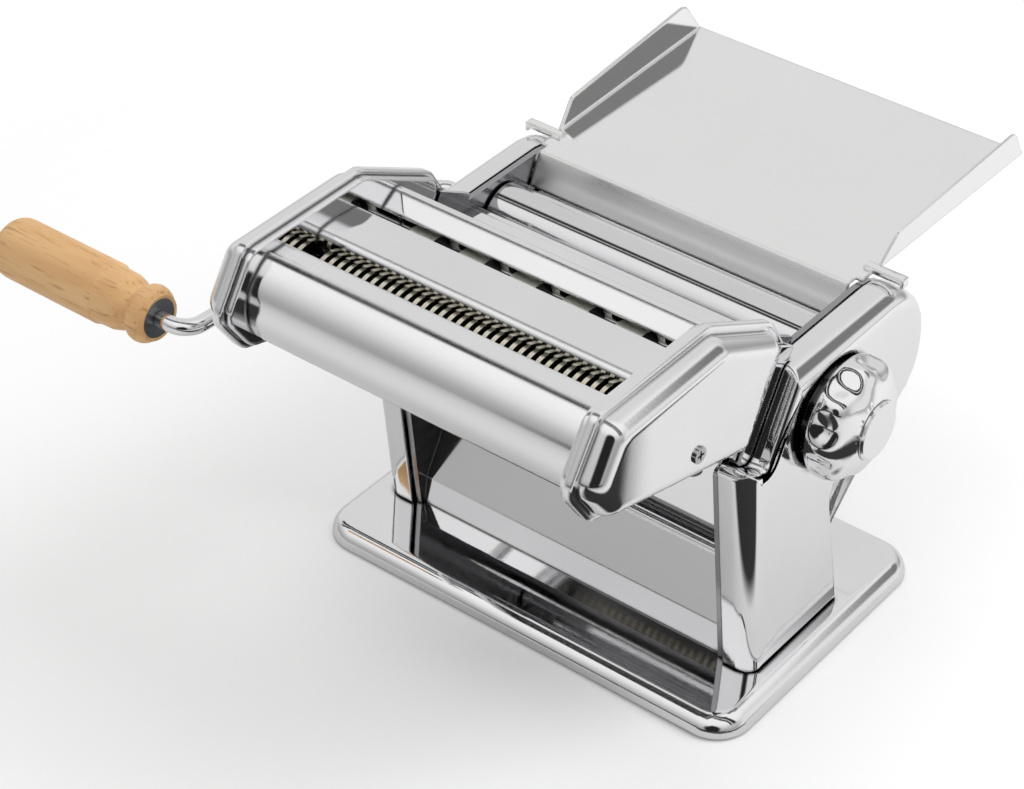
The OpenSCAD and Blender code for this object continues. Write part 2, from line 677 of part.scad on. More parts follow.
// Knob outline at a share of its length, with its lobes fading out towards the face
function knob_ring(r, lobe) = [for (k = [0 : 95]) let (a = k * 3.75)
  knob_at + (r - lobe * (1 - cos(knob_lobes * a)) / 2) * [cos(a), sin(a)]];
cap_r = 12;
cap_t = 1.6;
module adjusting_knob() color(chrome) {
  r = knob_d / 2;
  dome = [[0, r - 2, 0], [0.05, r - 0.7, 0], [0.12, r - 0.1, 0.7], [0.24, r, 2.4], [0.4, r - 0.2, 3.4],
          [0.54, r - 0.8, 2.9], [0.66, r - 2, 2], [0.76, r - 4, 1.2], [0.85, r - 6.8, 0.5],
          [0.93, r - 9.8, 0.2], [1, cap_r + 0.6, 0]];
  difference() {
    loft([for (q = dome) knob_ring(q[1], q[2])], [for (q = dome) knob_x + q[0] * (knob_l - cap_t)]);
    at_knob() {
      translate([0, 0, knob_x - 1]) cylinder(r = cam_shaft_d / 2 + run_fit, h = shaft_in + 2);
      translate([0, -key_w / 2 - key_fit, knob_x - 1])
        cube([cam_shaft_d / 2 + key_h + slot_fit, key_w + 2 * key_fit, shaft_in]);
      translate([0, 0, knob_x - 1])
        rotate([0, 0, pin_start]) translate([pin_at, 0, 0]) cylinder(r = index_pin_r, h = 6);
    }
  }
}
module knob_cap() color(chrome) at_knob() translate([0, 0, knob_end - cap_t]) {
  cylinder(r = cap_r, h = cap_t - 0.6);
  cylinder(r1 = cap_r, r2 = cap_r - 0.8, h = cap_t);
}
module index_pin() color(steel) at_knob() rotate([0, 0, pin_start])
  translate([pin_at, 0, panel_out + 0.3]) cylinder(r = index_pin_r, h = knob_x + 5 - panel_out - 0.3);

// Crank: one bent rod with a turned wooden grip

module crank_frame() at(front_at[0], front_at[1]) rotate([-arm_rise, 0, 0]) children();
rod_tip = front_end - socket_l + 0.8;
grip_x = arm_x + rod_bend + 6;
module bend_x(a) rotate([0, 0, a]) rotate_extrude(angle = 90) translate([rod_bend, 0]) circle(rod_d / 2);

module pin_place() at_front() translate([2.6 - front_end, 0, 0]) children();
module crank_rod() color(chrome) difference() {
  crank_frame() {
    rod_x(rod_d / 2, -arm_x + rod_bend, -rod_tip);
    translate([-arm_x + rod_bend, -rod_bend, 0]) bend_x(90);
    translate([-arm_x, -rod_bend, 0]) rotate([90, 0, 0]) cylinder(d = rod_d, h = arm_l - 2 * rod_bend);
    translate([-arm_x - rod_bend, rod_bend - arm_l, 0]) bend_x(270);
    translate([0, -arm_l, 0]) rod_x(rod_d / 2, -grip_x - grip_l + 12, -arm_x - rod_bend);
  }
  pin_place() cylinder(r = crank_pin_r, h = 2 * rod_d, center = true);
}
module crank_pin() color(steel) pin_place() cylinder(r = crank_pin_r, h = crank_pin_l, center = true);

grip_bore = rod_d / 2 + run_fit;
ferrule_r = 8;
ferrule_t = 1.6;
module crank_grip() color(wood) crank_frame() translate([-grip_x, -arm_l, 0]) rotate([0, -90, 0])
  rotate_extrude() {
    r = grip_d / 2;
    polygon(concat(
      [[grip_bore, ferrule_t], [ferrule_r, ferrule_t], [ferrule_r, 0.2], [ferrule_r + 1.4, 0]],
      arc([r - 5.6, 5], 4.8, -60, 70, 8),
      [[r - 3.4, 11.2], [r - 3.3, 12.4], [r - 1.9, 14.4], [r - 1, 17.5], [r - 0.8, 22], [r - 0.8, 24.5],
       [r, 26], [r, grip_l - 14]],
      arc([r - 7, grip_l - 7], 7, 0, 80, 6),
      [[3, grip_l], [0, grip_l], [0, grip_l - 11.4], [grip_bore, grip_l - 11.4]]));
  }
module grip_ferrule() color(dark_steel) crank_frame() translate([-grip_x, -arm_l, 0]) rotate([0, -90, 0])
  difference() {
    cylinder(r = ferrule_r, h = ferrule_t);
    translate([0, 0, -1]) cylinder(r = grip_bore, h = ferrule_t + 2);
  }

// Feed tray: one folded sheet with a lip, two flared wings and two ears

tray_z = rail_z + seat_gap;
tray_slope = atan(tray_rise / (tray_far - tray_fold));
tray_run = (tray_far - tray_fold) / cos(tray_slope);
lip_end = leaned(19.5, 11.5);
lip_half = plate_in - 0.8;
wing_start = 15;
wing_lean = 6;
wing_turn = atan(tray_flare / tray_run);
ear_w = 4;
ear_out = panel_out - 2;
module tray_plane() at(tray_fold, tray_z) rotate([tray_slope, 0, 0]) children();

module wing() translate([tray_half - tray_t, 0, 0]) rotate([0, 0, -wing_turn]) rotate([0, wing_lean, 0])
  across(0, tray_t) polygon(rounded([[wing_start, 0], [tray_run, 0], [tray_run - 10, wing_h],
    [wing_start + 10.5, wing_h - 4.2]], [0.5, 0.5, 6, 3]));

module ear() {
  translate([tray_half - 4, 11, 0]) cube([ear_out - tray_half + 4, ear_w, tray_t + 1.2]);
  translate([ear_out - 1.2, 11, -1.6]) cube([1.2, ear_w, 3]);
}

module feed_tray() color(steel) {
  across(-lip_half, lip_half)
    strip([lip_end, [tray_fold, tray_z], [tray_fold + 6, tray_z + 6 * tan(tray_slope)]], tray_t);
  tray_plane() {
    linear_extrude(tray_t) polygon([[-tray_half, 4], [tray_half, 4], [tray_half + tray_flare, tray_run],
                                    [-tray_half - tray_flare, tray_run]]);
    for (s = [-1, 1]) right_left(s) {
      wing();
      ear();
    }
  }
}

// Cutter end caps: a flange with a tongue, then a bevelled raised face

flange_top = cutter_z + 27.8;
flange_lines = [[narrow_y - 26, flange_top], [wide_y + 1, flange_top], [wide_y + 41, cutter_z + 6.5]];
flange_low = [[narrow_y - 30, cutter_z - 15.6], [narrow_y - 42.5, cutter_z + 3]];
low_slope = -0.27;
tongue_foot = [leaned(guide_u - tongue_w, guide_v0), leaned(guide_u, guide_v0)];
tongue_joint = meet(tongue_foot[0], [sin(tilt), cos(tilt)], flange_low[0], [1, low_slope]);
rear_top = leaned(guide_u, 4.2);
flange_outline = [flange_lines[2], flange_lines[1], flange_lines[0], flange_low[1], flange_low[0],
  tongue_joint, tongue_foot[0], tongue_foot[1], rear_top];

body_rear = [leaned(guide_u, -20), leaned(guide_u, 30)];
up = [sin(tilt), cos(tilt)];
body_sharp = [
  meet(flange_lines[1], flange_lines[2] - flange_lines[1], body_rear[0], up),
  flange_lines[1], flange_lines[0], flange_low[1], flange_low[0],
  meet(flange_low[0], [1, low_slope], body_rear[0], up)];
body_round = [7, 12, 8, 9, 10, 5];
face_in = 9.5;
base_in = 3;
rear_in = 14.4;

// Outline of the raised body between its foot on the flange and its flat face
function body_ring(f, extra) =
  let (t = base_in + (face_in - base_in) * f + extra, b = rear_in + 7.3 * f + extra)
  rounded(inset(body_sharp, [t, t, t, t, t, b]), [for (r = body_round) max(0.6, r - t * 0.4)]);

cap_rise = [for (k = [0 : 8]) [1 - cos(k * 11.25), sin(k * 11.25)]];
module cap_body(extra, open) loft(
  concat([body_ring(0, extra)], [for (q = cap_rise) body_ring(q[0], extra)]),
  concat([flange_in - open], [for (q = cap_rise) flange_out - extra + (cap_x - flange_out) * q[1]]));

mid_rod = [(narrow_y + wide_y) / 2 + 2.5, cutter_z - 13.5];
rod_line = [[narrow_y - 18, narrow_z - 12.5], mid_rod, [wide_y + 16.5, wide_z - 11.5]];
cutter_rod_r = 2.6;
cap_head_r = 3.3;

module cutter_cap() difference() {
  union() {
    across(flange_in, flange_out) polygon(rounded(flange_outline, [8, 10, 6, 8, 8, 3, 1, 1, 7]));
    cap_body(0, 0);
  }
  cap_body(cap_wall, 2);
  at(mid_rod[0], mid_rod[1]) rod_x(screw_r, flange_in, cap_x + 1);
}
module cutter_left_cap() color(chrome) difference() {
  right_left(-1) cutter_cap();
  for (i = [0, 2]) at_roll(i) rod_x(crank_hole_r, -cap_x - 1, -flange_out);
}
module cutter_right_cap() color(chrome) cutter_cap();

// Cutter cheeks carry the rolls, and the rods hold them apart

roll_ys = [for (y = [narrow_y, wide_y]) for (s = [-1, 1]) y + s * cutter_pitch / 2];
roll_zs = [narrow_z, narrow_z, wide_z, wide_z];
module at_roll(i) at(roll_ys[i], roll_zs[i]) children();
drive_journal_r = 6;
idle_journal_r = 3.5;
function journal_r(i) = i % 2 == 0 ? drive_journal_r : idle_journal_r;

cheek_rear = 11.4;
module cutter_cheek(left) difference() {
  across(plate_in, flange_in)
    polygon(rounded(inset(body_sharp, [2, 2, 2, 2, 2, cheek_rear]), body_round));
  for (i = [0 : 3]) at_roll(i)
    rod_x((left ? journal_r(i) : idle_journal_r) + run_fit, plate_in - 1, flange_in + 1);
  for (q = rod_line) at(q[0], q[1]) rod_x(screw_r, plate_in - 1, flange_in + 1);
}
module cutter_left_cheek() color(steel) right_left(-1) cutter_cheek(true);
module cutter_right_cheek() color(steel) cutter_cheek(false);

module cutter_rods() color(steel) for (q = rod_line) at(q[0], q[1]) difference() {
  union() {
    rod_x(cutter_rod_r, -plate_in, plate_in);
    if (q != mid_rod) rod_x(screw_r, -flange_in, flange_in);
  }
  if (q == mid_rod) for (s = [-1, 1]) right_left(s) rod_x(screw_r, plate_in - 12, plate_in + 1);
}

module cap_screws() color(steel) for (s = [-1, 1]) right_left(s) at(mid_rod[0], mid_rod[1]) difference() {
  union() {
    rod_x(screw_r, plate_in - 10, cap_x);
    rod_x(cap_head_r, cap_x, cap_x + 1);
  }
  translate([cap_x + 0.4, 0, 0]) {
    cube([2, 4, 0.9], center = true);
    cube([2, 0.9, 4], center = true);
  }
}

// Cutter covers: the round front, the strip between the slots and the rolled rear

cover_axis = [narrow_y - 8, cutter_z + 1.5];
cover_top = cutter_z + 19.5;
front_lip = narrow_y - 8.8;
lip_drop = 2.2;
crease_a = 114;
module cover_span() across(-plate_in, plate_in) children();
module cutter_front_cover() color(chrome) cover_span()
  strip(concat(arc(cover_axis, cover_r, 212, crease_a, 26),
               [[front_lip - 6.8, cover_top], [front_lip, cover_top], [front_lip, cover_top - lip_drop]]),
        cover_t);

mid_top = cutter_z + 17;
mid_front = narrow_y + 9.6;
mid_rear = wide_y - 4.2;
mid_lip = 7;
module cutter_mid_cover() color(chrome) cover_span()
  strip([[mid_rear, mid_top - mid_lip], [mid_rear, mid_top - 2.2], [mid_rear - 1.2, mid_top - 1],
         [(mid_front + mid_rear) / 2, mid_top], [mid_front + 5, mid_top], [mid_front + 2.2, mid_top - 0.4],
         [mid_front + 0.6, mid_top - 1.4], [mid_front, mid_top - 2.6], [mid_front, mid_top - mid_lip]],
        cover_t);

rear_roll = [wide_y + 17.6, cutter_z + 9.5];
rear_roll_r = 3.4;
rear_slope = 33;
rear_flat = 8.4;
module cutter_rear_cover() color(chrome) cover_span()
  let (bead = arc(rear_roll, rear_roll_r, 0, 90 + rear_slope, 10))
    strip(concat([[rear_roll[0] + rear_roll_r - 0.2, cutter_z - 6]], bead,
                 [bead[10] - rear_flat * [cos(rear_slope), sin(rear_slope)]]), cover_t);

// Cutter rolls: discs and grooves in one turned profile, shifted by a groove on the mate

disc_gap = 0.1;
roll_stop = plate_in - 0.6;
function roll_profile(w, shift) =
  let (n = floor(cutter_l / (2 * w)), x0 = -n * w + shift * w, disc = w - 2 * disc_gap)
  let (core = cutter_core_d / 2, rim = cutter_d / 2)
  concat([[0, -roll_stop], [core, -roll_stop]],
    [for (k = [0 : n - 1]) let (x = x0 + 2 * w * k + disc_gap)
      each [[core, x], [rim, x], [rim, x + disc], [core, x + disc]]],
    [[core, roll_stop], [0, roll_stop]]);

drive_end = cap_x - cap_wall - 0.6;
cutter_gear_in = flange_out + 0.8;
cutter_gear_t = 4.5;
module cutter_roll(i, w) at_roll(i) difference() {
  union() {
    rotate([0, 90, 0]) rotate_extrude() polygon(roll_profile(w, i % 2));
    rod_x(idle_journal_r, plate_in - 1, flange_in);
    rod_x(journal_r(i), i % 2 == 0 ? -drive_end : -cutter_gear_in - cutter_gear_t, -plate_in + 1);
  }
  if (i % 2 == 0) {
    rod_x(socket_r, -drive_end - 1, -drive_end + socket_l);
    translate([-drive_end - 1, -pin_slot / 2, -drive_journal_r - 1])
      cube([pin_slot_l + 1, pin_slot, 2 * drive_journal_r + 2]);
  }
}
module narrow_front_roll() color(steel) cutter_roll(0, narrow_strip);
module narrow_rear_roll() color(steel) cutter_roll(1, narrow_strip);
module wide_front_roll() color(steel) cutter_roll(2, wide_strip);
module wide_rear_roll() color(steel) cutter_roll(3, wide_strip);

cutter_tip = cutter_pitch / 2 + 1;
cutter_root = cutter_pitch - cutter_tip - tooth_clear;
cutter_slack = 0.3;
module cutter_gear(i) at_roll(i) rotate([i % 2 == 0 ? 0 : 180 / cutter_teeth, 0, 0]) difference() {
  across(-cutter_gear_in - cutter_gear_t, -cutter_gear_in)
    polygon(gear_outline(cutter_teeth, cutter_pitch / 2, cutter_tip, cutter_root, cutter_slack));
  rod_x(journal_r(i), -cutter_gear_in - cutter_gear_t - 1, -cutter_gear_in + 1);
}
module narrow_front_gear() color(dark_steel) cutter_gear(0);
module narrow_rear_gear() color(dark_steel) cutter_gear(1);
module wide_front_gear() color(dark_steel) cutter_gear(2);
module wide_rear_gear() color(dark_steel) cutter_gear(3);

// Combs: toothed strips whose teeth strip the grooves under a pair of rolls

comb_t = 1;
comb_gap = 0.3;
module comb(w, shift, s) {
  n = floor(cutter_l / (2 * w));
  x0 = -n * w + (1 + shift) * w;
  tooth = w - 2 * comb_gap;
  base = [-13.5, -15.1];
  bend = [-5.3, -9.4];
  tip = [-2.2, -4.8];
  across(-plate_in, plate_in) strip([for (q = [base, bend]) [s * q[0], q[1]]], -s * comb_t);
  for (k = [0 : n - 1])
    across(x0 + 2 * w * k + comb_gap, x0 + 2 * w * k + comb_gap + tooth)
      strip([for (q = [bend - [0.9, 0.4], bend, tip]) [s * q[0], q[1]]], -s * comb_t);
}
module comb_pair(y, z, w) at(y, z) {
  comb(w, 0, 1);
  comb(w, -1, -1);
}
module narrow_combs() color(steel) comb_pair(narrow_y, narrow_z, narrow_strip);
module wide_combs() color(steel) comb_pair(wide_y, wide_z, wide_strip);

// The whole part, or one node of it, with the clamp hole over the origin

translate([0, -clamp_y, 0]) {
  base_plate();
  base_pads();
  base_screws();
  left_side_panel();
  right_side_panel();
  left_bearing_plate();
  right_bearing_plate();
  left_guide();
  right_guide();
  tie_rods();
  tie_rod_screws();
  carrier_studs();
  roller_bushes();
  chute_panel();
  rear_cover();
  front_bar();
  front_scraper();
  index_plate();
  front_roller();
  front_gear();
  left_carrier();
  right_carrier();
  rear_scraper();
  rear_roller();
  rear_gear();
  cam_shaft();
  left_cam();
  right_cam();
  adjusting_knob();
  knob_cap();
  index_pin();
  crank_rod();
  crank_pin();
  crank_grip();
  grip_ferrule();
  feed_tray();
  cutter_left_cap();
  cutter_right_cap();
  cutter_left_cheek();
  cutter_right_cheek();
  cutter_front_cover();
  cutter_mid_cover();
  cutter_rear_cover();
  narrow_combs();
  wide_combs();
  cutter_rods();
  cap_screws();
  narrow_front_roll();
  narrow_rear_roll();
  wide_front_roll();
  wide_rear_roll();
  narrow_front_gear();
  narrow_rear_gear();
  wide_front_gear();
  wide_rear_gear();
}
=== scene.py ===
import bpy
import numpy as np
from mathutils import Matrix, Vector


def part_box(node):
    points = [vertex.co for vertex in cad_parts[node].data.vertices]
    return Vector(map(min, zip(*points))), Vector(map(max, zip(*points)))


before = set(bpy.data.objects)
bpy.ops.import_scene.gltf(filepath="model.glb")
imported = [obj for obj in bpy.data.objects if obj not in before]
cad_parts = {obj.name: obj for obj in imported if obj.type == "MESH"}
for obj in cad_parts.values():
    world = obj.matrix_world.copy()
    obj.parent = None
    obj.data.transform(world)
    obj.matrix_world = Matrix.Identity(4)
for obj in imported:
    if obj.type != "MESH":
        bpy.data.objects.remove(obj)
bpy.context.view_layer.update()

# Base: a shallow pan pressed from steel sheet and chromed, turned upside down so that its
# rounded edge stands on four rubber pads. Screws from below hold the side panels on it.


def add(tree, kind, settings=None, **values):
    """A shader node of a kind; settings are its own choices, values its sockets by name."""
    node = tree.nodes.new(kind)
    for key, choice in (settings or {}).items():
        setattr(node, key, choice)
    for key, value in values.items():
        node.inputs[key.replace("_", " ")].default_value = value
    return node


def grain(tree, size, stretch=(1, 1, 1), detail=3.0):
    """Noise on object coordinates: size is grains to the metre, stretch squeezes each axis."""
    place = add(tree, "ShaderNodeTexCoord")
    squeeze = add(tree, "ShaderNodeMapping", Scale=stretch)
    noise = add(tree, "ShaderNodeTexNoise", Scale=size, Detail=detail)
    tree.links.new(place.outputs["Object"], squeeze.inputs["Vector"])
    tree.links.new(squeeze.outputs["Vector"], noise.inputs["Vector"])
    return noise.outputs["Fac"]


def spread(tree, value, low, high, to_low, to_high):
    """A straight remap of a value from low..high to to_low..to_high, held at its ends."""
    node = add(tree, "ShaderNodeMapRange", From_Min=low, From_Max=high, To_Min=to_low, To_Max=to_high)
    tree.links.new(value, node.inputs["Value"])
    return node.outputs["Result"]


def tinted(tree, share, first, second):
    """A colour between two, by a share from 0 to 1. Each is three numbers or another node's colour."""
    mix = add(tree, "ShaderNodeMix", {"data_type": "RGBA"})
    tree.links.new(share, mix.inputs["Factor"])
    for socket, colour in (("A", first), ("B", second)):
        if isinstance(colour, tuple):
            mix.inputs[socket].default_value = (*colour, 1)
        else:
            tree.links.new(colour, mix.inputs[socket])
    return mix.outputs["Result"]


def shader_of(name, metallic):
    """A new material with its tree and its one surface shader."""
    material = bpy.data.materials.new(name)
    material.use_nodes = True
    shader = material.node_tree.nodes["Principled BSDF"]
    shader.inputs["Metallic"].default_value = metallic
    return material, material.node_tree, shader


# Depth of tool and rubbing marks, and the rays that feel for a near edge or seam
mark_depth = 0.0001
feelers = 8


def raised(tree, shader, height, strength, depth=mark_depth, edge_r=0.0):
    """A bump from a height, strength 0 to 1, depth in metres, over edges that look rounded to a radius."""
    bump = add(tree, "ShaderNodeBump", Strength=strength, Distance=depth)
    tree.links.new(height, bump.inputs["Height"])
    if edge_r:
        rounded = add(tree, "ShaderNodeBevel", {"samples": feelers}, Radius=edge_r)
        tree.links.new(rounded.outputs["Normal"], bump.inputs["Normal"])
    tree.links.new(bump.outputs["Normal"], shader.inputs["Normal"])


bright_chrome = (0.88, 0.88, 0.885)
dull_chrome = (0.80, 0.80, 0.81)
# Near black painted shade for the seams and corners of chrome
painted_seam_shade = (0.02, 0.02, 0.02)
seam_w = 0.004


def plated(name, gloss, bright=bright_chrome, dull=dull_chrome, rub=(1, 1, 1), rub_size=900.0, edge_r=0.001):
    """Chrome: a bright metal, smeared by handling over fine rubbing lines, with painted shade darkening its
    seams and corners.
    """
    material, tree, shader = shader_of(name, 1.0)
    smear = grain(tree, 22.0, detail=4.0)
    # Painted shade: an occlusion test darkens the colour to near black in seams, creases and corners, where
    # shade falls.
    seam = add(tree, "ShaderNodeAmbientOcclusion", {"samples": feelers}, Distance=seam_w)
    out_of_seam_shade = spread(tree, seam.outputs["AO"], 0.35, 0.75, 0.0, 1.0)
    colour = tinted(tree, out_of_seam_shade, painted_seam_shade, tinted(tree, smear, bright, dull))
    tree.links.new(colour, shader.inputs["Base Color"])
    tree.links.new(spread(tree, smear, 0.3, 0.75, gloss * 0.6, gloss * 1.7), shader.inputs["Roughness"])
    raised(tree, shader, grain(tree, rub_size, rub, 2.0), 0.04, edge_r=edge_r)
    return material


weld_gap = 0.000004


def smoothing(sharp):
    """Nodes that join loose triangles and shade a mesh smooth, except over edges sharper than an angle."""
    name = f"eased_to_{sharp:.0f}"
    if name in bpy.data.node_groups:
        return bpy.data.node_groups[name]
    group = bpy.data.node_groups.new(name, "GeometryNodeTree")
    group.interface.new_socket("Geometry", in_out="INPUT", socket_type="NodeSocketGeometry")
    group.interface.new_socket("Geometry", in_out="OUTPUT", socket_type="NodeSocketGeometry")
    come = add(group, "NodeGroupInput")
    merge = add(group, "GeometryNodeMergeByDistance", Distance=weld_gap)
    smooth = add(group, "GeometryNodeSetShadeSmooth", {"domain": "FACE"}, Shade_Smooth=True)
    angle = add(group, "GeometryNodeInputMeshEdgeAngle")
    limit = add(group, "FunctionNodeCompare", {"operation": "GREATER_THAN"})
    limit.inputs["B"].default_value = np.radians(sharp)
    crease = add(group, "GeometryNodeSetShadeSmooth", {"domain": "EDGE"}, Shade_Smooth=False)
    go = add(group, "NodeGroupOutput")
    group.links.new(come.outputs[0], merge.inputs["Geometry"])
    group.links.new(merge.outputs["Geometry"], smooth.inputs["Geometry"])
    group.links.new(smooth.outputs["Geometry"], crease.inputs["Geometry"])
    group.links.new(angle.outputs["Unsigned Angle"], limit.inputs["A"])
    group.links.new(limit.outputs["Result"], crease.inputs["Selection"])
    group.links.new(crease.outputs["Geometry"], go.inputs[0])
    return group


def dress(material, *names, sharp=30.0):
    """Gives CAD nodes their finish and smooth shading, except over edges sharper than an angle."""
    for name in names:
        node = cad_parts[name]
        node.data.materials.clear()
        node.data.materials.append(material)
        node.modifiers.new("eased", "NODES").node_group = smoothing(sharp)
        node.modifiers.new("weighed", "WEIGHTED_NORMAL").keep_sharp = True


base_chrome = plated("base_chrome", 0.035)
dress(base_chrome, "base_plate")


def rubbery(name, colour):
    """Moulded rubber: dark, with a fine pebbled skin and dust in its hollows."""
    material, tree, shader = shader_of(name, 0.0)
    pebble = grain(tree, 1400.0, detail=2.0)
    dusty = tuple(c * 2.2 + 0.01 for c in colour)
    tree.links.new(tinted(tree, pebble, colour, dusty), shader.inputs["Base Color"])
    tree.links.new(spread(tree, pebble, 0.3, 0.7, 0.65, 0.85), shader.inputs["Roughness"])
    raised(tree, shader, pebble, 0.3, 2 * mark_depth)
    return material


dress(rubbery("pad_rubber", (0.02, 0.02, 0.02)), "base_pads")


def turned(name, colour, dark, gloss, lines=2600.0):
    """Turned steel: fine tool rings across X, with a thin uneven film of oil."""
    material, tree, shader = shader_of(name, 1.0)
    rings = grain(tree, lines, (1, 0.02, 0.02), 2.0)
    film = grain(tree, 60.0, detail=4.0)
    tree.links.new(tinted(tree, film, colour, dark), shader.inputs["Base Color"])
    tree.links.new(spread(tree, rings, 0.25, 0.75, gloss * 0.7, gloss * 1.4), shader.inputs["Roughness"])
    raised(tree, shader, rings, 0.02)
    return material


screw_steel = turned("screw_steel", (0.62, 0.62, 0.63), (0.45, 0.45, 0.46), 0.22)
dress(screw_steel, "base_screws")

# Inner frame: two flat bearing plates cut from steel sheet, held apart by turned tie rods with
# a screw in each end. Headed studs and brass bushes are pressed into the plates.


def rolled(name, colour, dark, gloss, along=(0.03, 1, 1), lines=700.0, lift=0.02, edge_r=0.0):
    """Rolled sheet steel: long fine rolling lines, along X unless told, and a soft cloudiness."""
    material, tree, shader = shader_of(name, 1.0)
    streak = grain(tree, lines, along, 3.0)
    cloud = grain(tree, 30.0, detail=3.0)
    tree.links.new(tinted(tree, cloud, colour, dark), shader.inputs["Base Color"])
    tree.links.new(spread(tree, streak, 0.3, 0.7, gloss * 0.75, gloss * 1.35), shader.inputs["Roughness"])
    raised(tree, shader, streak, lift, edge_r=edge_r)
    return material


plate_steel = rolled("plate_steel", (0.40, 0.40, 0.41), (0.32, 0.32, 0.33), 0.16, along=(1, 0.03, 1))
dress(plate_steel, "left_bearing_plate", "right_bearing_plate")
dress(turned("rod_steel", (0.24, 0.24, 0.25), (0.18, 0.18, 0.18), 0.20, lines=900.0), "tie_rods")
dress(screw_steel, "tie_rod_screws", "carrier_studs")
dress(turned("bush_brass", (0.72, 0.55, 0.26), (0.60, 0.43, 0.18), 0.22), "roller_bushes")

# Side panels: pressed chrome shells that close the machine at both ends. Each stands on the base,
# carries a rail along its top, and a notch with a guide wall beside it takes the cutter's tongue.

panel_chrome = plated("panel_chrome", 0.04)
dress(panel_chrome, "left_side_panel", "right_side_panel", "left_guide", "right_guide")

# Sheet pieces between the plates: the chute that leads the dough forwards, the curved cover behind
# the rear roller, the bar in front of the rollers, and two spring steel scraper blades.
# A bend of more than fold degrees in a sheet keeps its crease.

fold = 14.0
sheet_chrome = plated("sheet_chrome", 0.06, rub=(0.02, 1, 1), rub_size=1600.0)
dress(sheet_chrome, "chute_panel", "rear_cover", "front_bar", sharp=fold)
blade_steel = rolled("blade_steel", (0.24, 0.24, 0.25), (0.18, 0.18, 0.19), 0.2)
dress(blade_steel, "front_scraper", "rear_scraper")

# Rollers: two ground and chromed steel rollers. The front one is driven by the crank through its
# hollow journal, and a pair of gears on the left carries the turn to the rear one.

roller_chrome = plated("roller_chrome", 0.07, bright=(0.78, 0.78, 0.79), dull=(0.70, 0.70, 0.71),
                       rub=(1, 0.02, 0.02), rub_size=2400.0)
dress(roller_chrome, "front_roller", "rear_roller")


def cut_steel(name, colour, dark):
    """Cut gear steel: dull grey with dark grease gathered in patches."""
    material, tree, shader = shader_of(name, 1.0)
    grease = grain(tree, 140.0, detail=5.0)
    patches = spread(tree, grease, 0.4, 0.7, 0.0, 1.0)
    tree.links.new(tinted(tree, patches, colour, dark), shader.inputs["Base Color"])
    tree.links.new(spread(tree, grease, 0.3, 0.7, 0.3, 0.5), shader.inputs["Roughness"])
    raised(tree, shader, grain(tree, 2200.0, detail=2.0), 0.1)
    return material


gear_steel = cut_steel("gear_steel", (0.36, 0.36, 0.37), (0.12, 0.11, 0.10))
dress(gear_steel, "front_gear", "rear_gear")

# Thickness setting: carriers slide the rear roller on their studs, pushed by two cams on a shaft.
# The knob on the shaft is a chromed pressing with eight scallops, a face disc and a steel pin
# that drops into the notched plate behind it.

dress(plate_steel, "left_carrier", "right_carrier", "index_plate")
dress(gear_steel, "left_cam", "right_cam")
dress(screw_steel, "cam_shaft", "index_pin")
knob_chrome = plated("knob_chrome", 0.03)
dress(knob_chrome, "adjusting_knob", "knob_cap")

# Crank: one chromed steel rod bent twice, with a cross pin that engages the roller's slot and a
# turned beech grip that spins on its end behind a steel washer.

rod_chrome = plated("rod_chrome", 0.08, rub=(1, 0.05, 1), rub_size=1500.0)
dress(rod_chrome, "crank_rod")
dress(screw_steel, "crank_pin")


def beech(name, pale, deep, brown):
    """Beech turned along X: long soft bands from pale to deep and short brown flecks along the grain."""
    material, tree, shader = shader_of(name, 0.0)
    bands = grain(tree, 130.0, (0.12, 1, 1), 3.0)
    flecks = grain(tree, 700.0, (0.10, 1, 1), 2.0)
    body = tinted(tree, spread(tree, bands, 0.3, 0.7, 0.0, 1.0), pale, deep)
    flecked = tinted(tree, spread(tree, flecks, 0.58, 0.70, 0.0, 0.55), body, brown)
    tree.links.new(flecked, shader.inputs["Base Color"])
    tree.links.new(spread(tree, flecks, 0.3, 0.7, 0.38, 0.55), shader.inputs["Roughness"])
    raised(tree, shader, flecks, 0.12, 3 * mark_depth)
    return material


grip_beech = beech("grip_beech", (0.86, 0.55, 0.27), (0.72, 0.41, 0.17), (0.40, 0.18, 0.06))
dress(grip_beech, "crank_grip")
dress(turned("washer_steel", (0.30, 0.31, 0.32), (0.20, 0.20, 0.21), 0.3), "grip_ferrule")

# Feed tray: one folded sheet of satin stainless steel. Its lip drops towards the rollers and is
# rubbed dull by the dough, two flared wings keep the dough in, and two ears hook over the rails.


def rubbed_before(material, fold_y, fold_r, dullness):
    """Makes a finish dull in front of a fold across Y, over a soft step as wide as the fold."""
    tree = material.node_tree
    rough = tree.nodes["Principled BSDF"].inputs["Roughness"]
    place = add(tree, "ShaderNodeSeparateXYZ")
    tree.links.new(add(tree, "ShaderNodeTexCoord").outputs["Object"], place.inputs["Vector"])
    lip = spread(tree, place.outputs["Y"], fold_y - fold_r, fold_y + fold_r, dullness, 0.0)
    worn = add(tree, "ShaderNodeMath", {"operation": "MAXIMUM"})
    tree.links.new(rough.links[0].from_socket, worn.inputs[0])
    tree.links.new(lip, worn.inputs[1])
    tree.links.new(worn.outputs[0], rough)


tray_fold_y = -0.0101
tray_fold_r = 0.002
tray_satin = rolled("tray_satin", (0.93, 0.93, 0.925), (0.90, 0.90, 0.895), 0.07,
                    along=(0.02, 1, 1), lines=2400.0, lift=0.008, edge_r=tray_fold_r)
rubbed_before(tray_satin, tray_fold_y, tray_fold_r, 0.32)
dress(tray_satin, "feed_tray", sharp=fold)

# Cutter frame: two chromed end caps with tongues for the machine's channels, chromed inner cheeks
# that carry the rolls, and three rods that hold the cheeks apart.

cap_r = 0.002
cap_crease = 40.0
cap_chrome = plated("cap_chrome", 0.035, edge_r=cap_r)
dress(cap_chrome, "cutter_left_cap", "cutter_right_cap", sharp=cap_crease)
dress(cap_chrome, "cutter_left_cheek", "cutter_right_cheek")
dress(screw_steel, "cutter_rods", "cap_screws")

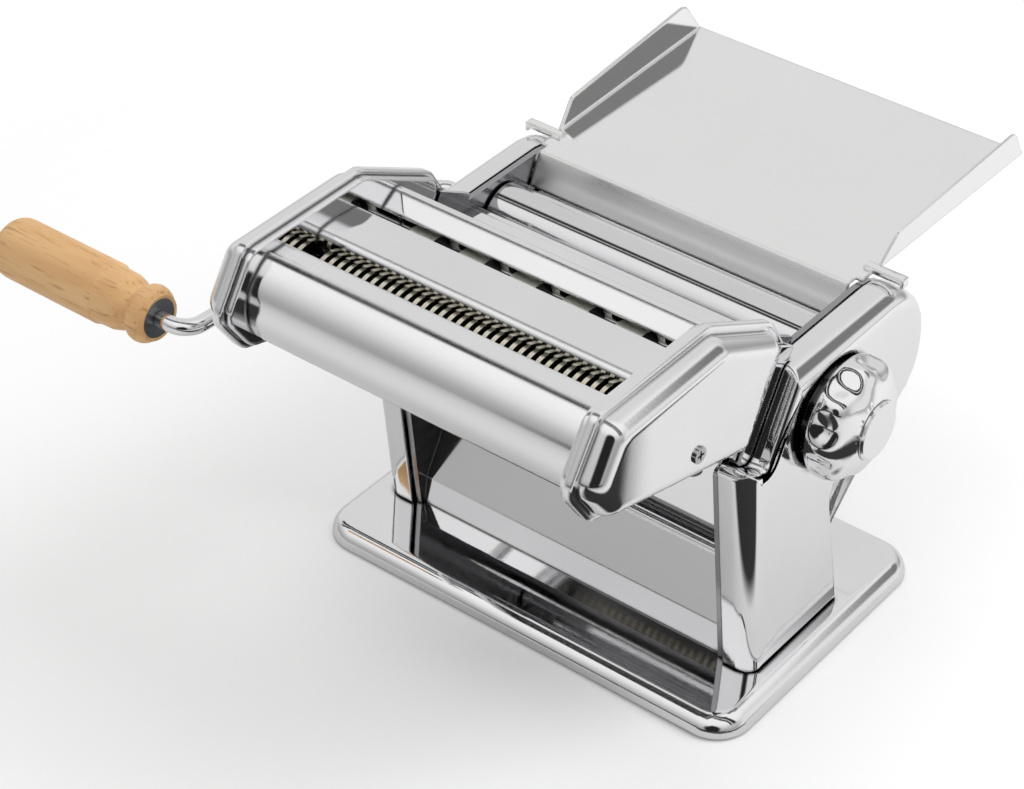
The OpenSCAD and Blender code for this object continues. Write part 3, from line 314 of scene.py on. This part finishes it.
# Cutter covers: three bent chrome sheets between the cheeks, with the two feed slots between them.
# The round front cover is brushed along its length, and the other two are polished.

cover_r = 0.0022
cover_brushed = plated("cover_brushed", 0.09, dull=(0.84, 0.84, 0.85), rub=(0.015, 1, 1), rub_size=1500.0,
                       edge_r=cover_r)
dress(cover_brushed, "cutter_front_cover", sharp=fold)
cover_chrome = plated("cover_chrome", 0.05, rub=(0.02, 1, 1), rub_size=1600.0, edge_r=cover_r)
dress(cover_chrome, "cutter_mid_cover", "cutter_rear_cover", sharp=fold)

# Cutter rolls: turned steel rolls whose discs cut between the discs of their mates. Combs under
# them strip the grooves, and gears on the left turn each pair together.


def grooved(name, axis_y, axis_z, bright, core_r, rim_r):
    """Turned roll: bright rims with painted shade that darkens them towards the axis and on the discs'
    sides, which face along X.
    """
    material, tree, shader = shader_of(name, 0.7)
    place = add(tree, "ShaderNodeTexCoord")
    centre = add(tree, "ShaderNodeMapping", Location=(0, -axis_y, -axis_z), Scale=(0, 1, 1))
    reach = add(tree, "ShaderNodeVectorMath", {"operation": "LENGTH"})
    tree.links.new(place.outputs["Object"], centre.inputs["Vector"])
    tree.links.new(centre.outputs["Vector"], reach.inputs["Vector"])
    rise = spread(tree, reach.outputs["Value"], core_r, rim_r, 0.0, 1.0)
    # Painted shade on the discs' sides: the colour darkens where the surface faces along X.
    facing = add(tree, "ShaderNodeVectorMath", {"operation": "DOT_PRODUCT"})
    facing.inputs[1].default_value = (1, 0, 0)
    tree.links.new(place.outputs["Normal"], facing.inputs[0])
    steep = add(tree, "ShaderNodeMath", {"operation": "ABSOLUTE"})
    tree.links.new(facing.outputs["Value"], steep.inputs[0])
    unshaded_rim = add(tree, "ShaderNodeMath", {"operation": "MULTIPLY"})
    tree.links.new(rise, unshaded_rim.inputs[0])
    tree.links.new(spread(tree, steep.outputs[0], 0.3, 0.8, 1.0, 0.0), unshaded_rim.inputs[1])
    # Painted shade: the colour falls to near black deep in the grooves and on the discs' sides.
    dark = tuple(c * 0.05 for c in bright)
    tree.links.new(tinted(tree, unshaded_rim.outputs[0], dark, bright), shader.inputs["Base Color"])
    lines = grain(tree, 1800.0, (1, 0.05, 0.05), 2.0)
    tree.links.new(spread(tree, lines, 0.3, 0.7, 0.28, 0.42), shader.inputs["Roughness"])
    raised(tree, shader, lines, 0.08)
    return material


def roll_axis(name):
    """The middle of a roll in Y and Z, from its node's box."""
    low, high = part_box(name)
    return (low.y + high.y) / 2, (low.z + high.z) / 2


disc_r = 0.009
groove_r = 0.0055
rim_tints = {"narrow": (0.88, 0.83, 0.68), "wide": (0.95, 0.95, 0.85)}
for cut, tint in rim_tints.items():
    for roll in (f"{cut}_front_roll", f"{cut}_rear_roll"):
        dress(grooved(roll + "_steel", *roll_axis(roll), tint, groove_r, disc_r), roll)
dress(rolled("comb_steel", (0.12, 0.12, 0.12), (0.09, 0.09, 0.09), 0.3), "narrow_combs", "wide_combs")
dress(gear_steel, "narrow_front_gear", "narrow_rear_gear", "wide_front_gear", "wide_rear_gear")

# Studio: a white paper floor that runs to the horizon and two soft boxes over it. Polished metal alone sees
# a painted room in its reflections, while diffuse light comes from an even fill: grey walls under a white
# ceiling with two dark slits, bright walls behind with a dim corner between them, a dark doorway and a dark
# skirting in front, and a dark patch painted on the floor that only reflections show.

floor_w = 12.0
floor_mesh = bpy.data.meshes.new("floor")
floor_grid = np.array([[-1, -1, 0], [1, -1, 0], [1, 1, 0], [-1, 1, 0]]) * floor_w / 2
floor_mesh.from_pydata(floor_grid.tolist(), [], [(0, 1, 2, 3)])
floor = bpy.data.objects.new("floor", floor_mesh)
bpy.context.scene.collection.objects.link(floor)

right = (1, 0, 0)
left = (-1, 0, 0)
back = (0, 1, 0)
front = (0, -1, 0)
up = (0, 0, 1)
down = (0, 0, -1)


def laid_over(tree, under, share, level):
    """A grey level mixed over another by a share. Each level is a number or another node's value."""
    mix = add(tree, "ShaderNodeMix", {"data_type": "FLOAT"})
    tree.links.new(share, mix.inputs["Factor"])
    for socket, value in (("A", under), ("B", level)):
        if isinstance(value, float):
            mix.inputs[socket].default_value = value
        else:
            tree.links.new(value, mix.inputs[socket])
    return mix.outputs["Result"]


def looking(tree, place, direction, low, high):
    """A soft step on a direction: 0 where a vector's share along it is low, 1 where it is high."""
    dot = add(tree, "ShaderNodeVectorMath", {"operation": "DOT_PRODUCT"})
    dot.inputs[1].default_value = direction
    tree.links.new(place, dot.inputs[0])
    ease = add(tree, "ShaderNodeMapRange", {"interpolation_type": "SMOOTHSTEP"}, From_Min=low, From_Max=high)
    tree.links.new(dot.outputs["Value"], ease.inputs["Value"])
    return ease.outputs["Result"]


def all_of(tree, first, *others):
    """The product of shares."""
    for other in others:
        product = add(tree, "ShaderNodeMath", {"operation": "MULTIPLY"})
        tree.links.new(first, product.inputs[0])
        tree.links.new(other, product.inputs[1])
        first = product.outputs[0]
    return first


paper_white = (0.86, 0.86, 0.86)
reflected_patch_dark = (0.04, 0.04, 0.04)
dark_patch_side = (0.8, -0.6, 0)
near_lift = 0.21
far_lift = 0.7
paper, tree, shader = shader_of("floor_paper", 0.0)
shader.inputs["Roughness"].default_value = 0.9
shader.inputs["Specular IOR Level"].default_value = 0.0
shader.inputs["Emission Color"].default_value = (1, 1, 1, 1)
ray = add(tree, "ShaderNodeLightPath").outputs
spot = add(tree, "ShaderNodeTexCoord").outputs["Object"]
# Painted reflection: the paper is dark in a patch in front, right of the machine, but only for reflected
# rays, so chrome mirrors a dark floor there while the camera sees white paper.
reflected_dark_patch = all_of(tree, looking(tree, spot, dark_patch_side, 0.16, 0.18), looking(tree, spot, right, 0.0, 0.08),
                   looking(tree, spot, left, -0.42, -0.30), ray["Is Glossy Ray"])
tree.links.new(tinted(tree, reflected_dark_patch, paper_white, reflected_patch_dark), shader.inputs["Base Color"])
away = add(tree, "ShaderNodeVectorMath", {"operation": "LENGTH"})
tree.links.new(spot, away.inputs[0])
lift = spread(tree, away.outputs["Value"], 0.4, 2.0, near_lift, far_lift)
glow = laid_over(tree, 0.0, ray["Is Camera Ray"], lift)
glow = laid_over(tree, glow, ray["Is Transmission Ray"], lift)
tree.links.new(glow, shader.inputs["Emission Strength"])
floor_mesh.materials.append(paper)

world = bpy.data.worlds.new("studio")
bpy.context.scene.world = world
world.use_nodes = True
tree = world.node_tree
sky = tree.nodes["Background"]
gaze = add(tree, "ShaderNodeTexCoord").outputs["Generated"]


def towards(direction, low, high):
    """How nearly a ray looks in a direction: 0 at a cosine of low, 1 at a cosine of high."""
    return looking(tree, gaze, Vector(direction).normalized(), low, high)


def reflected_ceiling_slit(start, full_start, full_end, end):
    """A dark slit painted into the reflected ceiling along X: full between two shares of Y, gone past two
    wider ones.
    """
    after_start = looking(tree, gaze, back, start, full_start)
    before_end = looking(tree, gaze, front, -end, -full_end)
    return all_of(tree, after_start, before_end, towards(up, 0.35, 0.6))


white = 1.0
grey_wall = 0.40
left_wall = 0.77
right_wall = 0.85
dim = 0.22
slit_dark = 0.03
black = 0.02
fill = 0.60
# Painted reflections: this room is seen only by reflected rays; diffuse rays get an even fill and the camera
# sees white.
reflected_room = laid_over(tree, grey_wall, towards(up, 0.05, 0.85), white)
reflected_room = laid_over(tree, reflected_room, towards((-0.6, 0.6, 0.45), 0.55, 0.85), left_wall)
reflected_room = laid_over(tree, reflected_room, towards((0.78, 0.62, 0), 0.80, 0.95), right_wall)
reflected_doorway = towards((0.45, -0.84, 0.30), 0.92, 0.96)
reflected_room = laid_over(tree, reflected_room, reflected_doorway, black)
reflected_dim_corner = all_of(tree, towards((0.46, 0.70, 0.54), 0.94, 0.985), looking(tree, gaze, back, 0.62, 0.67))
reflected_room = laid_over(tree, reflected_room, reflected_dim_corner, dim)
reflected_skirting = all_of(tree, looking(tree, gaze, front, 0.4, 0.6), looking(tree, gaze, down, -0.12, -0.08),
                  looking(tree, gaze, right, -0.50, -0.44))
reflected_room = laid_over(tree, reflected_room, reflected_skirting, black)
reflected_room = laid_over(tree, reflected_room, reflected_ceiling_slit(-0.20, -0.15, -0.07, -0.045), slit_dark)
reflected_room = laid_over(tree, reflected_room, reflected_ceiling_slit(-0.06, 0.02, 0.10, 0.16), slit_dark)
ray = add(tree, "ShaderNodeLightPath").outputs
light = laid_over(tree, fill, ray["Is Glossy Ray"], reflected_room)
light = laid_over(tree, light, ray["Is Camera Ray"], white)
light = laid_over(tree, light, ray["Is Transmission Ray"], white)
tree.links.new(light, sky.inputs["Strength"])
sky.inputs["Color"].default_value = (1, 1, 1, 1)


def soft_lamp(name, place, aim, size, watts):
    """A square soft box at a place, facing a point. Polished metal doesn't see it."""
    lamp = bpy.data.lights.new(name, "AREA")
    lamp.shape = "SQUARE"
    lamp.size = size
    lamp.energy = watts
    obj = bpy.data.objects.new(name, lamp)
    obj.location = place
    obj.rotation_euler = (Vector(aim) - Vector(place)).to_track_quat("-Z", "Y").to_euler()
    obj.visible_glossy = False
    bpy.context.scene.collection.objects.link(obj)


machine_middle = (0, 0, 0.1)
soft_lamp("back_box", (0.8, 0.6, 1.2), machine_middle, 0.8, 10.0)
soft_lamp("top_box", (-0.4, -0.1, 1.5), machine_middle, 0.9, 3.0)

camera_data = bpy.data.cameras.new("camera")
camera_data.sensor_width = 36.0
camera_data.lens = 103.6
camera = bpy.data.objects.new("camera", camera_data)
camera.location = (0.5338, -0.7964, 0.7860)
sight = Vector((-0.4911, 0.6212, -0.6107))
camera.rotation_euler = sight.to_track_quat("-Z", "Y").to_euler()
bpy.context.scene.collection.objects.link(camera)
bpy.context.scene.camera = camera
bpy.context.scene.view_settings.view_transform = "Standard"
